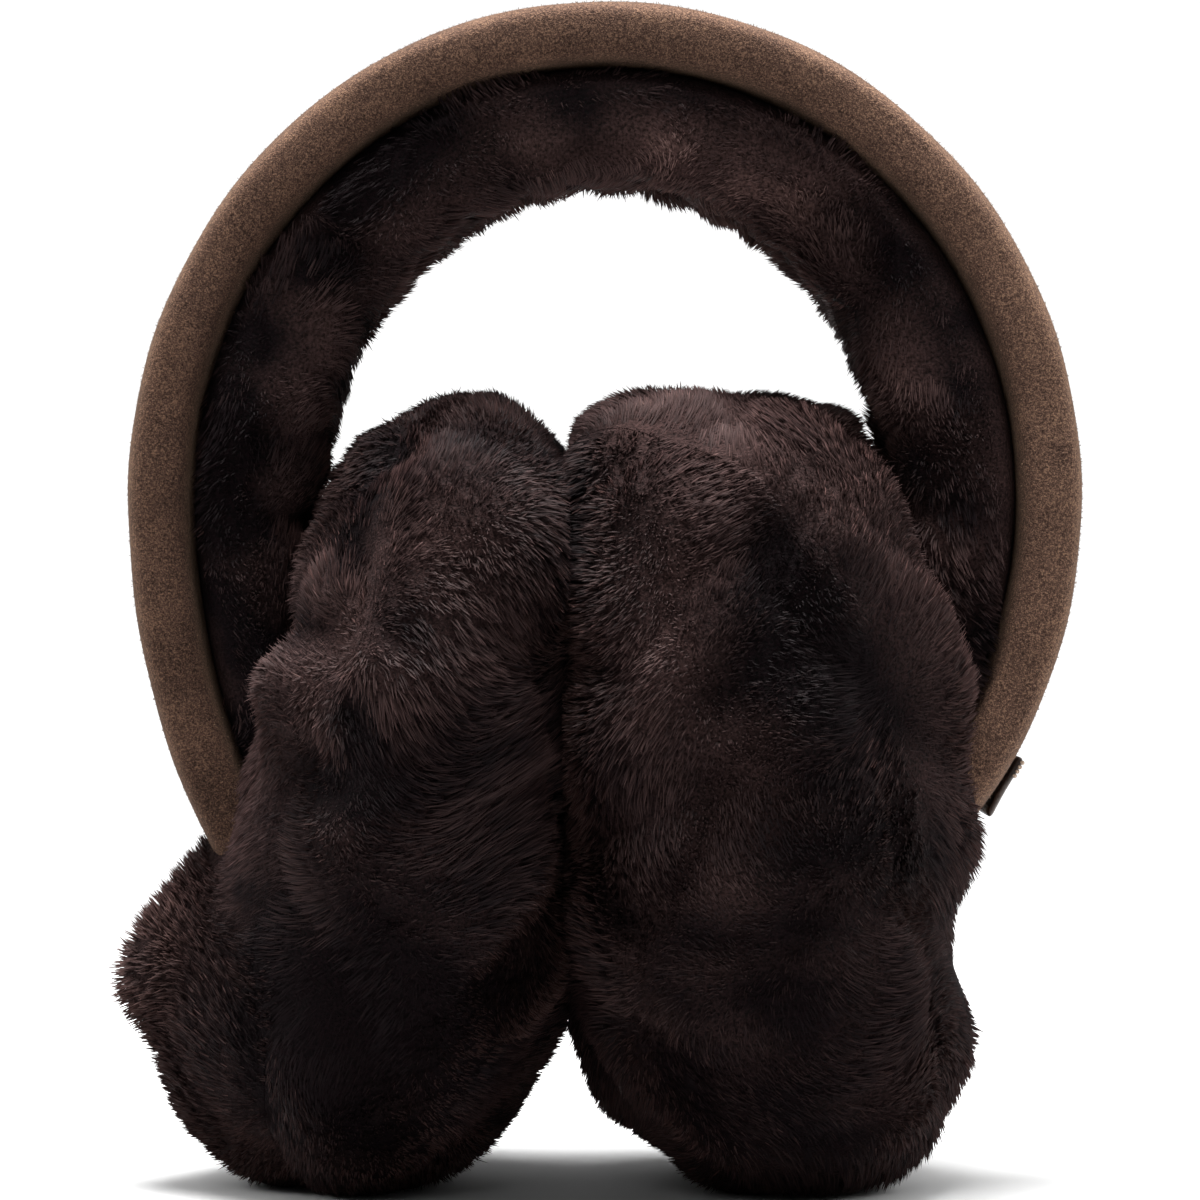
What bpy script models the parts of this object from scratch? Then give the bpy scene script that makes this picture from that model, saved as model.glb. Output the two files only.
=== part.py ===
# Fur earmuffs: a padded suede headband lined with shearling, and two deep shearling ear pads.
# Metres, +Z up, +X to the viewer's right, -Y towards the viewer. The earmuffs stand on the ground
# at Z = 0 on the pads' pressed-flat bottoms, pads face to face, band upright above them.

import math
from collections import namedtuple

import bmesh
import bpy
import numpy as np

# Headband: half an ellipse above its widest level, a quarter of a longer one below it at each side
BAND_LEVEL = 0.1170
BAND_HALF_WIDTH = 0.0808
BAND_RISE = 0.0838
BAND_DROP_LEFT = 0.1060
BAND_DROP_RIGHT = 0.0900
BAND_DEPTH = 0.0400
BAND_END = math.radians(44)

# Suede roll, and the fur lining inside it
COVER_THICKNESS = 0.0114
COVER_ROUNDING = 3.0
LINING_THICKNESS = 0.0166
LINING_INSET = 0.0012
LINING_ROUNDING = 3.0
LINING_LOCK_REACH = 0.0115
LINING_LOCK_RISE = 0.0042
LINING_LOCK_SPACING = 0.0144
LINING_LOCK_ROWS = 3

# Gap that touching pieces keep
FIT_GAP = 0.0003

# Ear pads
PAD_HEIGHT = 0.1350
PAD_SQUASH = 0.0045
PAD_DEPTH = 0.1180
PAD_ROUNDING = 2.5
MEETING_PLANE = -0.0064
LEFT_HALF_THICKNESS = 0.0290
RIGHT_HALF_THICKNESS = 0.0330
PAD_PRESS = 0.0015
POCKET_ROUNDING = 6.0
LOCK_REACH = 0.0140
LOCK_RISE = 0.0055
LOCKS_PER_PAD = 100
SEAM_GROOVE = 0.0065
SEAM_SPREAD = 0.11

# Leather tab on the right band end
TAB_TOP = math.radians(27)
TAB_LENGTH = 0.0112
TAB_DEPTH = 0.0200
TAB_THICKNESS = 0.0016
TAB_ROUNDING = 6.0
TAB_LIFT = 0.0012
TAB_SEWN_SHARE = 0.4

# Mesh steps
COVER_STATIONS = 53
LINING_STATIONS = 61
SECTION_STEPS = 14
PAD_COLUMNS = 50
PAD_ROWS = 18
POCKET_STATIONS = 25
TAB_STATIONS = 7

# How unevenly the locks lie: their seed, and their shift as a share of their spacing
SEED = 7
LOCK_SHIFT = 0.25

Colour = namedtuple("Colour", "red green blue roughness")
SUEDE = Colour(0.105, 0.070, 0.048, 0.95)
FUR = Colour(0.022, 0.016, 0.015, 0.90)
LEATHER = Colour(0.030, 0.017, 0.012, 0.60)

# A pad's outline seen from the front. Height runs from -1 at its foot to 1 at its top. Lean is how
# far the middle shifts outwards, and width is the half thickness there, both as shares of the
# pad's half thickness on a rounded block.
Section = namedtuple("Section", "height lean width")
LEFT_SECTIONS = (
    Section(-1.00, 0.32, 0.92),
    Section(-0.80, 0.30, 1.15),
    Section(-0.55, 0.17, 1.14),
    Section(-0.25, 0.05, 1.03),
    Section(0.00, 0.00, 0.97),
    Section(0.35, -0.12, 0.90),
    Section(0.65, -0.21, 0.93),
    Section(0.90, -0.30, 0.98),
    Section(1.00, -0.40, 0.70),
)
RIGHT_SECTIONS = (
    Section(-1.00, 0.20, 0.90),
    Section(-0.80, 0.18, 1.08),
    Section(-0.55, 0.09, 1.08),
    Section(-0.25, 0.01, 1.00),
    Section(0.00, 0.00, 0.97),
    Section(0.35, -0.06, 0.95),
    Section(0.65, -0.10, 1.03),
    Section(0.90, -0.19, 1.32),
    Section(1.00, -0.18, 1.80),
)

# The large lobes and hollows of the fur. Out, front and up give the direction from the pad's
# middle, reach and rise are shares of the pad's height and half thickness.
Lobe = namedtuple("Lobe", "out front up reach rise")
LEFT_LOBES = (
    Lobe(0.90, 0.10, -0.36, 0.14, 0.52),
    Lobe(0.75, 0.05, -0.80, 0.11, 0.20),
    Lobe(0.65, 0.75, 0.25, 0.11, 0.14),
    Lobe(-0.35, 0.75, 0.70, 0.13, 0.10),
    Lobe(-0.05, 0.95, 0.10, 0.11, 0.12),
    Lobe(0.15, 0.90, -0.38, 0.09, -0.16),
    Lobe(0.35, 0.85, 0.42, 0.07, -0.12),
)
RIGHT_LOBES = (
    Lobe(0.85, 0.15, -0.58, 0.13, 0.12),
    Lobe(-0.45, 0.60, 0.80, 0.16, 0.08),
    Lobe(-0.50, 0.80, 0.10, 0.20, 0.10),
    Lobe(0.10, 0.95, -0.30, 0.15, -0.08),
    Lobe(0.55, 0.70, 0.45, 0.15, 0.08),
    Lobe(0.95, 0.30, -0.05, 0.15, 0.12),
)

# How the rim seam lies: turn swings the face panel towards the viewer, tilt raises it
Pad = namedtuple("Pad", "side half_thickness sections lobes turn tilt")
PADS = {
    "left": Pad(-1, LEFT_HALF_THICKNESS, LEFT_SECTIONS, LEFT_LOBES, math.radians(40), math.radians(0)),
    "right": Pad(1, RIGHT_HALF_THICKNESS, RIGHT_SECTIONS, RIGHT_LOBES, math.radians(54), math.radians(-36)),
}

# Lining thickness along the band, from its top at 0 to its end at 1, as a share
LiningStep = namedtuple("LiningStep", "along share")
LINING_STEPS = (
    LiningStep(0.00, 0.90),
    LiningStep(0.30, 1.00),
    LiningStep(0.62, 1.04),
    LiningStep(0.80, 0.85),
    LiningStep(1.00, 0.40),
)


def signed_power(values, power):
    return np.sign(values) * np.abs(values) ** power


def unit(vectors):
    return vectors / np.linalg.norm(vectors, axis=-1, keepdims=True)


def clear_scene():
    for item in list(bpy.data.objects):
        bpy.data.objects.remove(item, do_unlink=True)


def material_of(name, colour):
    material = bpy.data.materials.new(name)
    material.use_nodes = True
    shader = material.node_tree.nodes["Principled BSDF"]
    shader.inputs["Base Color"].default_value = (colour.red, colour.green, colour.blue, 1)
    shader.inputs["Roughness"].default_value = colour.roughness
    shader.inputs["Metallic"].default_value = 0
    material.diffuse_color = (colour.red, colour.green, colour.blue, 1)
    return material


# One closed object from its points and faces, with the faces turned outwards
def add_solid(name, points, faces, material):
    mesh = bpy.data.meshes.new(name)
    mesh.from_pydata([tuple(point) for point in points], [], faces)
    shape = bmesh.new()
    shape.from_mesh(mesh)
    bmesh.ops.recalc_face_normals(shape, faces=shape.faces)
    shape.to_mesh(mesh)
    shape.free()
    mesh.shade_smooth()
    if material:
        mesh.materials.append(material)
    solid = bpy.data.objects.new(name, mesh)
    bpy.context.collection.objects.link(solid)
    return solid


# Quads between neighbouring rings of equal count, numbered row by row from first
def ring_quads(rows, count, first=0):
    quads = []
    for row in range(rows - 1):
        for column in range(count):
            following = (column + 1) % count
            low, high = first + row * count, first + (row + 1) * count
            quads.append((low + column, low + following, high + following, high + column))
    return quads


# Relief of overlapping locks: 1 over a lock's root, falling with the square of the distance, so
# that neighbouring locks meet in a crease
def lock_relief(points, roots, reach):
    nearest = np.full(len(points), np.inf)
    for root in roots:
        nearest = np.minimum(nearest, ((points - root) ** 2).sum(axis=1))
    return 1 - np.minimum(nearest / reach**2, 1)


# The band's outer line at angle t from +X, moved inwards by s, with y the place across its depth
def band_points(t, s, y):
    drop = np.where(np.cos(t) > 0, BAND_DROP_RIGHT, BAND_DROP_LEFT)
    reach = np.where(np.sin(t) > 0, BAND_RISE, drop)
    across, up = BAND_HALF_WIDTH * np.cos(t), reach * np.sin(t)
    normal = unit(np.stack([reach * np.cos(t), BAND_HALF_WIDTH * np.sin(t)], axis=-1))
    x = across - s * normal[..., 0]
    z = BAND_LEVEL + up - s * normal[..., 1]
    return np.stack([x, y, z], axis=-1)


# 0 at the band's top and 1 at either end
def along_band(t):
    return np.abs(t - math.pi / 2) / (math.pi / 2 + BAND_END)


def lining_thickness(t):
    places = [step.along for step in LINING_STEPS]
    shares = [step.share for step in LINING_STEPS]
    return LINING_THICKNESS * np.interp(along_band(t), places, shares)


# A rounded bar's section: across its depth, and through its thickness as 0 outside to 1 inside
def bar_section(rounding):
    angle = np.linspace(0, 2 * math.pi, SECTION_STEPS, endpoint=False)
    across = signed_power(np.cos(angle), 2 / rounding)
    through = 0.5 - 0.5 * signed_power(np.sin(angle), 2 / rounding)
    return across, through


# A bar that follows the band over the given angles. Near and far give the inward distances of its
# outer and inner face, and relief what is added to them.
def band_bar(name, angles, near, far, depth, rounding, material, relief=None):
    across, through = bar_section(rounding)
    t = np.repeat(angles[:, None], len(across), axis=1)
    y = np.broadcast_to(across * depth / 2, t.shape)
    s = near(t) + (far(t) - near(t)) * through
    if relief:
        s = s + relief(band_points(t, s, y), t, through)
    points = band_points(t, s, y).reshape(-1, 3)
    rows, count = t.shape
    faces = ring_quads(rows, count)
    faces.append(tuple(range(count)))
    faces.append(tuple((rows - 1) * count + column for column in range(count)))
    return add_solid(name, points, faces, material)


def whole_band(stations):
    return np.linspace(-BAND_END, math.pi + BAND_END, stations)


def build_cover(material):
    return band_bar(
        "band_cover",
        whole_band(COVER_STATIONS),
        lambda t: 0 * t,
        lambda t: 0 * t + COVER_THICKNESS,
        BAND_DEPTH,
        COVER_ROUNDING,
        material,
    )


# Roots of the lining's locks, in staggered rows along its inner face
def lining_roots(seeded):
    length = (math.pi / 2 + BAND_END) * 2 * (BAND_HALF_WIDTH - COVER_THICKNESS)
    count = round(length / LINING_LOCK_SPACING)
    pitch = (math.pi + 2 * BAND_END) / count
    row_depth = BAND_DEPTH / LINING_LOCK_ROWS
    roots = []
    for row in range(LINING_LOCK_ROWS):
        shift = seeded.uniform(-LOCK_SHIFT, LOCK_SHIFT, (2, count))
        t = whole_band(count) + (shift[0] + row / 2) * pitch
        y = (row - (LINING_LOCK_ROWS - 1) / 2 + shift[1]) * row_depth
        roots.append(band_points(t, COVER_THICKNESS + lining_thickness(t), y))
    return np.concatenate(roots)


# The locks stand on the lining's inner half, and fade out over the last fifth before the pads
def build_lining(material, seeded):
    roots = lining_roots(seeded)

    def relief(points, t, through):
        locks = lock_relief(points.reshape(-1, 3), roots, LINING_LOCK_REACH).reshape(t.shape)
        fade = np.clip(5 * (1 - along_band(t)), 0, 1)
        return LINING_LOCK_RISE * locks * fade * np.clip(2 * through - 0.5, 0, 1)

    return band_bar(
        "band_fur",
        whole_band(LINING_STATIONS),
        lambda t: 0 * t + COVER_THICKNESS + FIT_GAP,
        lambda t: COVER_THICKNESS + lining_thickness(t),
        BAND_DEPTH - 2 * LINING_INSET,
        LINING_ROUNDING,
        material,
        relief,
    )


# Unit vector from a pad's back to its face, across the seam
def face_direction(pad):
    level = math.cos(pad.tilt)
    return np.array([-pad.side * level * math.cos(pad.turn), -level * math.sin(pad.turn), math.sin(pad.tilt)])


# The smooth pad under its locks, for unit directions in the pad's own rounded block, with the
# way out at each point. Its middle lies half a thickness from the plane where the pads meet.
def pad_base(pad, directions):
    block = directions / (np.abs(directions) ** PAD_ROUNDING).sum(axis=1, keepdims=True) ** (1 / PAD_ROUNDING)
    heights = [section.height for section in pad.sections]
    lean = np.interp(block[:, 2], heights, [section.lean for section in pad.sections])
    width = np.interp(block[:, 2], heights, [section.width for section in pad.sections])
    thick = pad.half_thickness
    tall = (PAD_HEIGHT + PAD_SQUASH) / 2
    middle = MEETING_PLANE + pad.side * (thick - PAD_PRESS)
    x = middle + pad.side * lean * thick + width * thick * block[:, 0]
    y = block[:, 1] * PAD_DEPTH / 2
    z = PAD_HEIGHT - tall + block[:, 2] * tall
    sizes = np.array([thick, PAD_DEPTH / 2, tall])
    out = unit(signed_power(block, PAD_ROUNDING - 1) / sizes)
    return np.stack([x, y, z], axis=-1), out


# Directions spread evenly over a ball on a spiral, each moved a little
def spiral_directions(count, seeded):
    index = np.arange(count) + 0.5
    rise = 1 - 2 * index / count
    turn = index * math.pi * (3 - math.sqrt(5))
    level = np.sqrt(1 - rise**2)
    spread = np.stack([level * np.cos(turn), level * np.sin(turn), rise], axis=-1)
    spacing = math.sqrt(4 * math.pi / count)
    return unit(spread + seeded.normal(0, LOCK_SHIFT * spacing, spread.shape))


def pad_surface(pad, directions, roots):
    points, out = pad_base(pad, directions)
    lift = LOCK_RISE * (lock_relief(points, roots, LOCK_REACH) - 0.5)
    for lobe in pad.lobes:
        aim = unit(np.array([[pad.side * lobe.out, -lobe.front, lobe.up]]))
        centre, _ = pad_base(pad, aim)
        distance = ((points - centre) ** 2).sum(axis=1) / (lobe.reach * PAD_HEIGHT) ** 2
        lift = lift + lobe.rise * pad.half_thickness * np.exp(-distance)
    seam = directions @ face_direction(pad)
    lift = lift - SEAM_GROOVE * np.exp(-((seam / SEAM_SPREAD) ** 2))
    points = points + out * lift[:, None]
    points[:, 2] = np.maximum(points[:, 2], 0)
    clear = FIT_GAP / 2
    inner = pad.side * (points[:, 0] - MEETING_PLANE)
    points[:, 0] = MEETING_PLANE + pad.side * np.maximum(inner, clear)
    return points


# Rings of directions round the seam's axis, from a pole of the pad to the seam
def panel_directions(axis):
    helper = np.array([0.0, 0.0, 1.0])
    first = unit(np.cross(helper, axis))
    second = np.cross(axis, first)
    polar = np.linspace(0, math.pi / 2, PAD_ROWS + 1)[1:, None]
    turn = np.linspace(0, 2 * math.pi, PAD_COLUMNS, endpoint=False)[None, :]
    parts = (
        np.cos(polar)[..., None] * axis
        + (np.sin(polar) * np.cos(turn))[..., None] * first
        + (np.sin(polar) * np.sin(turn))[..., None] * second
    )
    return parts.reshape(-1, 3)


# One fur panel: its outside from the pole to the seam, closed by a fan across the pad's middle
def build_panel(name, pad, part, material, roots):
    axis = face_direction(pad) * (1 if part == "face" else -1)
    directions = np.concatenate([axis[None, :], panel_directions(axis)])
    outside = pad_surface(pad, directions, roots)
    rim = outside[-PAD_COLUMNS:]
    middle = rim.mean(axis=0, keepdims=True)
    points = np.concatenate([outside, middle])
    shift = axis * FIT_GAP / 2
    points[-PAD_COLUMNS - 1 :] += shift
    points[:, 2] = np.maximum(points[:, 2], 0)
    faces = ring_quads(PAD_ROWS, PAD_COLUMNS, first=1)
    last = 1 + (PAD_ROWS - 1) * PAD_COLUMNS
    for column in range(PAD_COLUMNS):
        following = (column + 1) % PAD_COLUMNS
        faces.append((0, 1 + column, 1 + following))
        faces.append((last + column, last + following, len(points) - 1))
    return add_solid(name, points, faces, material)


# The room that a band end takes in the pads' fur, with the fit gap all round
def build_pocket(side):
    reach = BAND_END + FIT_GAP / BAND_HALF_WIDTH
    above = math.asin((PAD_HEIGHT + LOCK_REACH - BAND_LEVEL) / BAND_RISE)
    angles = np.linspace(-reach, above, POCKET_STATIONS)
    if side < 0:
        angles = math.pi - angles
    pocket = band_bar(
        "pocket_left" if side < 0 else "pocket_right",
        angles,
        lambda t: 0 * t - FIT_GAP,
        lambda t: COVER_THICKNESS + lining_thickness(t) + LINING_LOCK_RISE + FIT_GAP,
        BAND_DEPTH + 4 * FIT_GAP,
        POCKET_ROUNDING,
        None,
    )
    pocket.hide_render = True
    pocket.display_type = "WIRE"
    return pocket


def cut(solid, cutter):
    modifier = solid.modifiers.new("pocket", "BOOLEAN")
    modifier.operation = "DIFFERENCE"
    modifier.solver = "EXACT"
    modifier.object = cutter


def build_pads(material, seeded):
    for side_name, pad in PADS.items():
        roots, _ = pad_base(pad, spiral_directions(LOCKS_PER_PAD, seeded))
        pocket = build_pocket(pad.side)
        for part in ("face", "back"):
            cut(build_panel(f"pad_{part}_{side_name}", pad, part, material, roots), pocket)


# The tab follows the cover's outer face. It is sewn there along its upper share and lifts off below.
def build_tab(material):
    step = 0.01
    speed = np.linalg.norm(band_points(-TAB_TOP, 0, 0) - band_points(-TAB_TOP - step, 0, 0)) / step
    angles = np.linspace(-TAB_TOP, -TAB_TOP - TAB_LENGTH / speed, TAB_STATIONS)

    def lift(t):
        share = (-TAB_TOP - t) * speed / TAB_LENGTH
        loose = np.maximum(share - TAB_SEWN_SHARE, 0) / (1 - TAB_SEWN_SHARE)
        return TAB_LIFT * loose**2

    return band_bar(
        "leather_tab",
        angles,
        lambda t: 0 * t - FIT_GAP - TAB_THICKNESS - lift(t),
        lambda t: 0 * t - FIT_GAP - lift(t),
        TAB_DEPTH,
        TAB_ROUNDING,
        material,
    )


def main():
    clear_scene()
    seeded = np.random.default_rng(SEED)
    fur = material_of("brown shearling", FUR)
    build_cover(material_of("brown suede", SUEDE))
    build_lining(fur, seeded)
    build_pads(fur, seeded)
    build_tab(material_of("dark leather", LEATHER))


main()
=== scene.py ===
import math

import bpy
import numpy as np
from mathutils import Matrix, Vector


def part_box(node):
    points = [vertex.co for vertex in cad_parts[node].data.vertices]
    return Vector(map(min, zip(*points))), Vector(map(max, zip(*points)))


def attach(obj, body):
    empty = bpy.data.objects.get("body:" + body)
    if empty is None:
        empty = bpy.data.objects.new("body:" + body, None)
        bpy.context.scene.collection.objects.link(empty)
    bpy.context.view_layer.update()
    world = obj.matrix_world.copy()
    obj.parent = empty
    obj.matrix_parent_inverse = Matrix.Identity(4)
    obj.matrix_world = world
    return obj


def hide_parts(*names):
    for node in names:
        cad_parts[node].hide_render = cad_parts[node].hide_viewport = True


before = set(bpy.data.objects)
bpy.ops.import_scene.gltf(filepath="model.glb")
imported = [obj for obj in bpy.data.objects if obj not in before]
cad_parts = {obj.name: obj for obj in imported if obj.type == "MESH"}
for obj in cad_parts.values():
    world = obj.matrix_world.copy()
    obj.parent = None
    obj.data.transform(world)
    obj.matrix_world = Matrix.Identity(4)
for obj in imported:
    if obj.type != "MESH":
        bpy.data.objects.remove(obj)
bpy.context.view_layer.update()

# Shearling earmuffs. model.glb holds the solids, and this file gives them their looks: the napped
# suede of the headband, the clipped wool of its lining and of the pads' four panels, and the small
# leather tab. Every hair of the pile is a closed four-sided spindle that stands on the skin and
# ends on the fur's outer form. Metres, +Z up, -Y to the viewer.

chance = np.random.default_rng(7)


# Numbers

# Vectors brought to length 1
def unit(vectors):
    return vectors / np.maximum(np.linalg.norm(vectors, axis=-1, keepdims=True), 1e-12)


# A value's size to a power, with the value's own sign
def signedPower(values, power):
    return np.sign(values) * np.abs(values) ** power


# How far vectors reach along directions of length 1: the sum of the products of their parts
def along(vectors, directions):
    return (vectors * directions).sum(axis=-1, keepdims=True)


# Outward normals of a surface of two parameters, from the cross product of two short steps on it, all
# turned the same way round
def slopeNormals(surface, u, v, outwards, step=0.004):
    here = surface(u, v)
    normal = unit(np.cross(surface(u + step, v) - here, surface(u, v + step) - here))
    return normal * np.sign(along(normal, outwards).sum())


# Smooth wandering vectors: for each axis the sum of five sine waves in random directions, about one
# hill per the given size, divided by 1.6, which brings its usual height to 1
def wander(points, size, rng):
    moves = np.zeros(points.shape)
    for axis in range(3):
        for _ in range(5):
            wave = unit(rng.normal(size=3)) * rng.uniform(0.6, 1.4) * math.pi / size
            moves[..., axis] += np.sin(points @ wave + rng.uniform(0, 2 * math.pi))
    return moves / 1.6


# Meshes

# A mesh of triangles from whole arrays. The map is kept under the name that the export looks for, and
# a triangle that spans a tube's seam has its low corners moved on by one turn.
def makeMesh(name, points, triangles, material, shading=None, places=None, around=False):
    mesh = bpy.data.meshes.new(name)
    mesh.vertices.add(len(points))
    mesh.vertices.foreach_set("co", points.astype(np.float32).ravel())
    mesh.loops.add(triangles.size)
    mesh.loops.foreach_set("vertex_index", triangles.astype(np.int32).ravel())
    mesh.polygons.add(len(triangles))
    mesh.polygons.foreach_set("loop_start", np.arange(0, triangles.size, 3, dtype=np.int32))
    mesh.update(calc_edges=True)
    if places is not None:
        layer = mesh.uv_layers.new(name="OFBake", do_init=False)
        corners = places[triangles]
        if around:
            spans = corners[..., 0].max(axis=1) - corners[..., 0].min(axis=1) > 0.6
            corners[..., 0] += spans[:, None] & (corners[..., 0] < 0.3)
        layer.uv.foreach_set("vector", corners.astype(np.float32).ravel())
    mesh.shade_smooth()
    if shading is not None:
        mesh.normals_split_custom_set_from_vertices(shading.astype(np.float32))
    mesh.materials.append(material)
    piece = bpy.data.objects.new(name, mesh)
    bpy.context.collection.objects.link(piece)
    return piece


# Triangles of a tube of rings, each joined to the next: (rows, count) points, row by row. Both ends
# close on one more point each, which follow the rings.
def tubeTriangles(rows, count):
    row, column = np.meshgrid(np.arange(rows - 1), np.arange(count), indexing="ij")
    following = (column + 1) % count
    a, b = row * count + column, row * count + following
    c, d = a + count, b + count
    walls = np.stack([a, b, d, a, d, c], axis=-1)
    walls = np.concatenate([walls[..., :3].reshape(-1, 3), walls[..., 3:].reshape(-1, 3)])
    ring = np.arange(count)
    first, last = rows * count, rows * count + 1
    low = np.stack([ring * 0 + first, (ring + 1) % count, ring], -1)
    end = (rows - 1) * count
    high = np.stack([ring * 0 + last, end + ring, end + (ring + 1) % count], -1)
    return np.concatenate([walls, low, high])


# Closes a grid of rings with a point at the middle of each end, and turns it outwards: the sum of
# the signed volumes of its triangles over the origin is made positive.
def closedTube(rings, start=None, stop=None):
    rows, count = rings.shape[:2]
    start = rings[0].mean(axis=0) if start is None else start
    stop = rings[-1].mean(axis=0) if stop is None else stop
    points = np.concatenate([rings.reshape(-1, 3), start[None], stop[None]])
    triangles = tubeTriangles(rows, count)
    a, b, c = (points[triangles[:, k]] for k in range(3))
    if (np.cross(a, b) * c).sum() < 0:
        triangles = triangles[:, ::-1]
    return points, triangles


# Places spread evenly over a surface of two parameters, each from 0 to 1: cells are drawn in turn
# in proportion to their area times their weight.
def scatter(surface, weight, count, rng, cells=(90, 220)):
    rows, columns = cells
    u, v = np.meshgrid(np.linspace(0, 1, rows + 1), np.linspace(0, 1, columns + 1), indexing="ij")
    grid = surface(u.ravel(), v.ravel()).reshape(rows + 1, columns + 1, 3)
    across, down = grid[1:, :-1] - grid[:-1, :-1], grid[:-1, 1:] - grid[:-1, :-1]
    area = np.linalg.norm(np.cross(across, down), axis=-1) * weight(grid[:-1, :-1])
    total = np.cumsum(area.ravel())
    picks = (np.arange(count) + rng.random(count)) / count * total[-1]
    cell = np.minimum(np.searchsorted(total, picks), rows * columns - 1)
    return (cell // columns + rng.random(count)) / rows, (cell % columns + rng.random(count)) / columns


# Materials

# An sRGB hex code as linear colour: dark parts are divided by 12.92, others go to the power 2.4
def linear(code):
    parts = np.array([int(code[k : k + 2], 16) / 255 for k in (1, 3, 5)])
    parts = np.where(parts <= 0.04045, parts / 12.92, ((parts + 0.055) / 1.055) ** 2.4)
    return (*parts, 1.0)


# One node with its values, links and settings
def addNode(tree, kind, values=None, links=None, **settings):
    node = tree.nodes.new(kind)
    for key, value in settings.items():
        setattr(node, key, value)
    for key, value in (values or {}).items():
        node.inputs[key].default_value = value
    for key, socket in (links or {}).items():
        tree.links.new(socket, node.inputs[key])
    return node


# Settings of a mix node that multiplies two colours, which go in at 6 and 7 and come out at 2
multiplied = {"data_type": "RGBA", "blend_type": "MULTIPLY"}


# The link by which a pattern reads places on the object itself
def onObject(tree):
    return {"Vector": addNode(tree, "ShaderNodeTexCoord").outputs["Object"]}


# What a piece's own map holds across and along, as X and Y
def mapHalves(tree):
    places = addNode(tree, "ShaderNodeUVMap", uv_map="OFBake")
    return addNode(tree, "ShaderNodeSeparateXYZ", links={"Vector": places.outputs["UV"]}).outputs


# A material whose main shader has the given values on its own sockets
def newMaterial(name, values):
    material = bpy.data.materials.new(name)
    material.use_nodes = True
    tree = material.node_tree
    shader = tree.nodes["Principled BSDF"]
    for key, value in values.items():
        shader.inputs[key].default_value = value
    return material, tree, shader


# A ramp's stops are places and sRGB colours
def setRamp(node, stops):
    ramp = node.color_ramp
    while len(ramp.elements) < len(stops):
        ramp.elements.new(0.5)
    for element, (place, code) in zip(ramp.elements, stops):
        element.position = place
        element.color = linear(code)


woolLooks = {
    "tones": ((0.05, "#13090c"), (0.80, "#4e3b39"), (0.98, "#6b534f")),  # of the wool, by its shade
    "bloom": "#a07872",  # colour of the light that grazes the tips
    "bloomShare": 0.15,
    # Painted shade towards the root, deep in the pile, on top of the hair's own darker root
    "upHairToneAndShade": ((0.1, "#6e6a68"), (0.6, "#b9b5b3"), (1.0, "#ffffff")),  # multiplies it from root to tip
    "fleck": 0.0005,  # of the underwool in metres, a light and a dark one, and their ramp
    # The flecks' ramp keeps the underwool darker than the hairs: painted shade deep in the pile
    "flecks": ((0.3, "#5c5856"), (0.7, "#d0cccb")),
}


# Chocolate shearling, wool on the hide, dyed, clipped and combed: each hair is darker towards its root,
# partly its own tone and partly painted shade deep in the pile, and its tip catches the light as a
# greyish brown. Its own shade lies across its map, the way up it along.
def woolMaterial(name):
    material, tree, shader = newMaterial(
        name,
        {
            "Roughness": 0.60,
            "IOR": 1.55,
            "Specular IOR Level": 0.06,
            "Sheen Weight": woolLooks["bloomShare"],
            "Sheen Roughness": 0.35,
            "Sheen Tint": linear(woolLooks["bloom"]),
        },
    )
    halves = mapHalves(tree)
    own = addNode(tree, "ShaderNodeValToRGB", links={"Fac": halves["X"]})
    setRamp(own, woolLooks["tones"])
    up = addNode(tree, "ShaderNodeValToRGB", links={"Fac": halves["Y"]})
    setRamp(up, woolLooks["upHairToneAndShade"])
    pair = {6: own.outputs["Color"], 7: up.outputs["Color"]}
    colour = addNode(tree, "ShaderNodeMix", {"Factor": 1.0}, pair, **multiplied)
    tree.links.new(colour.outputs[2], shader.inputs["Base Color"])
    return material


# The dense underwool that shows between the hairs: matt, in flecks a hair wide, in the tone of the
# hairs that stand on it, which lies across its map, and darker, as painted shade deep in the pile
def skinMaterial(name):
    material, tree, shader = newMaterial(name, {"Roughness": 0.85, "Specular IOR Level": 0.05})
    noise = {"Scale": 1 / woolLooks["fleck"], "Detail": 2.0}
    flecks = addNode(tree, "ShaderNodeTexNoise", noise, onObject(tree))
    halves = mapHalves(tree)
    own = addNode(tree, "ShaderNodeValToRGB", links={"Fac": halves["X"]})
    setRamp(own, woolLooks["tones"])
    deep = addNode(tree, "ShaderNodeValToRGB", links={"Fac": flecks.outputs["Fac"]})
    setRamp(deep, woolLooks["flecks"])
    # The flecks darken the tone: painted shade deep in the pile, in flecks of its own
    pair = {6: own.outputs["Color"], 7: deep.outputs["Color"]}
    colour = addNode(tree, "ShaderNodeMix", {"Factor": 1.0}, pair, **multiplied)
    bump = addNode(
        tree, "ShaderNodeBump", {"Strength": 0.9, "Distance": 0.0006}, {"Height": flecks.outputs["Fac"]}
    )
    tree.links.new(colour.outputs[2], shader.inputs["Base Color"])
    tree.links.new(bump.outputs["Normal"], shader.inputs["Normal"])
    return material


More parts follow.
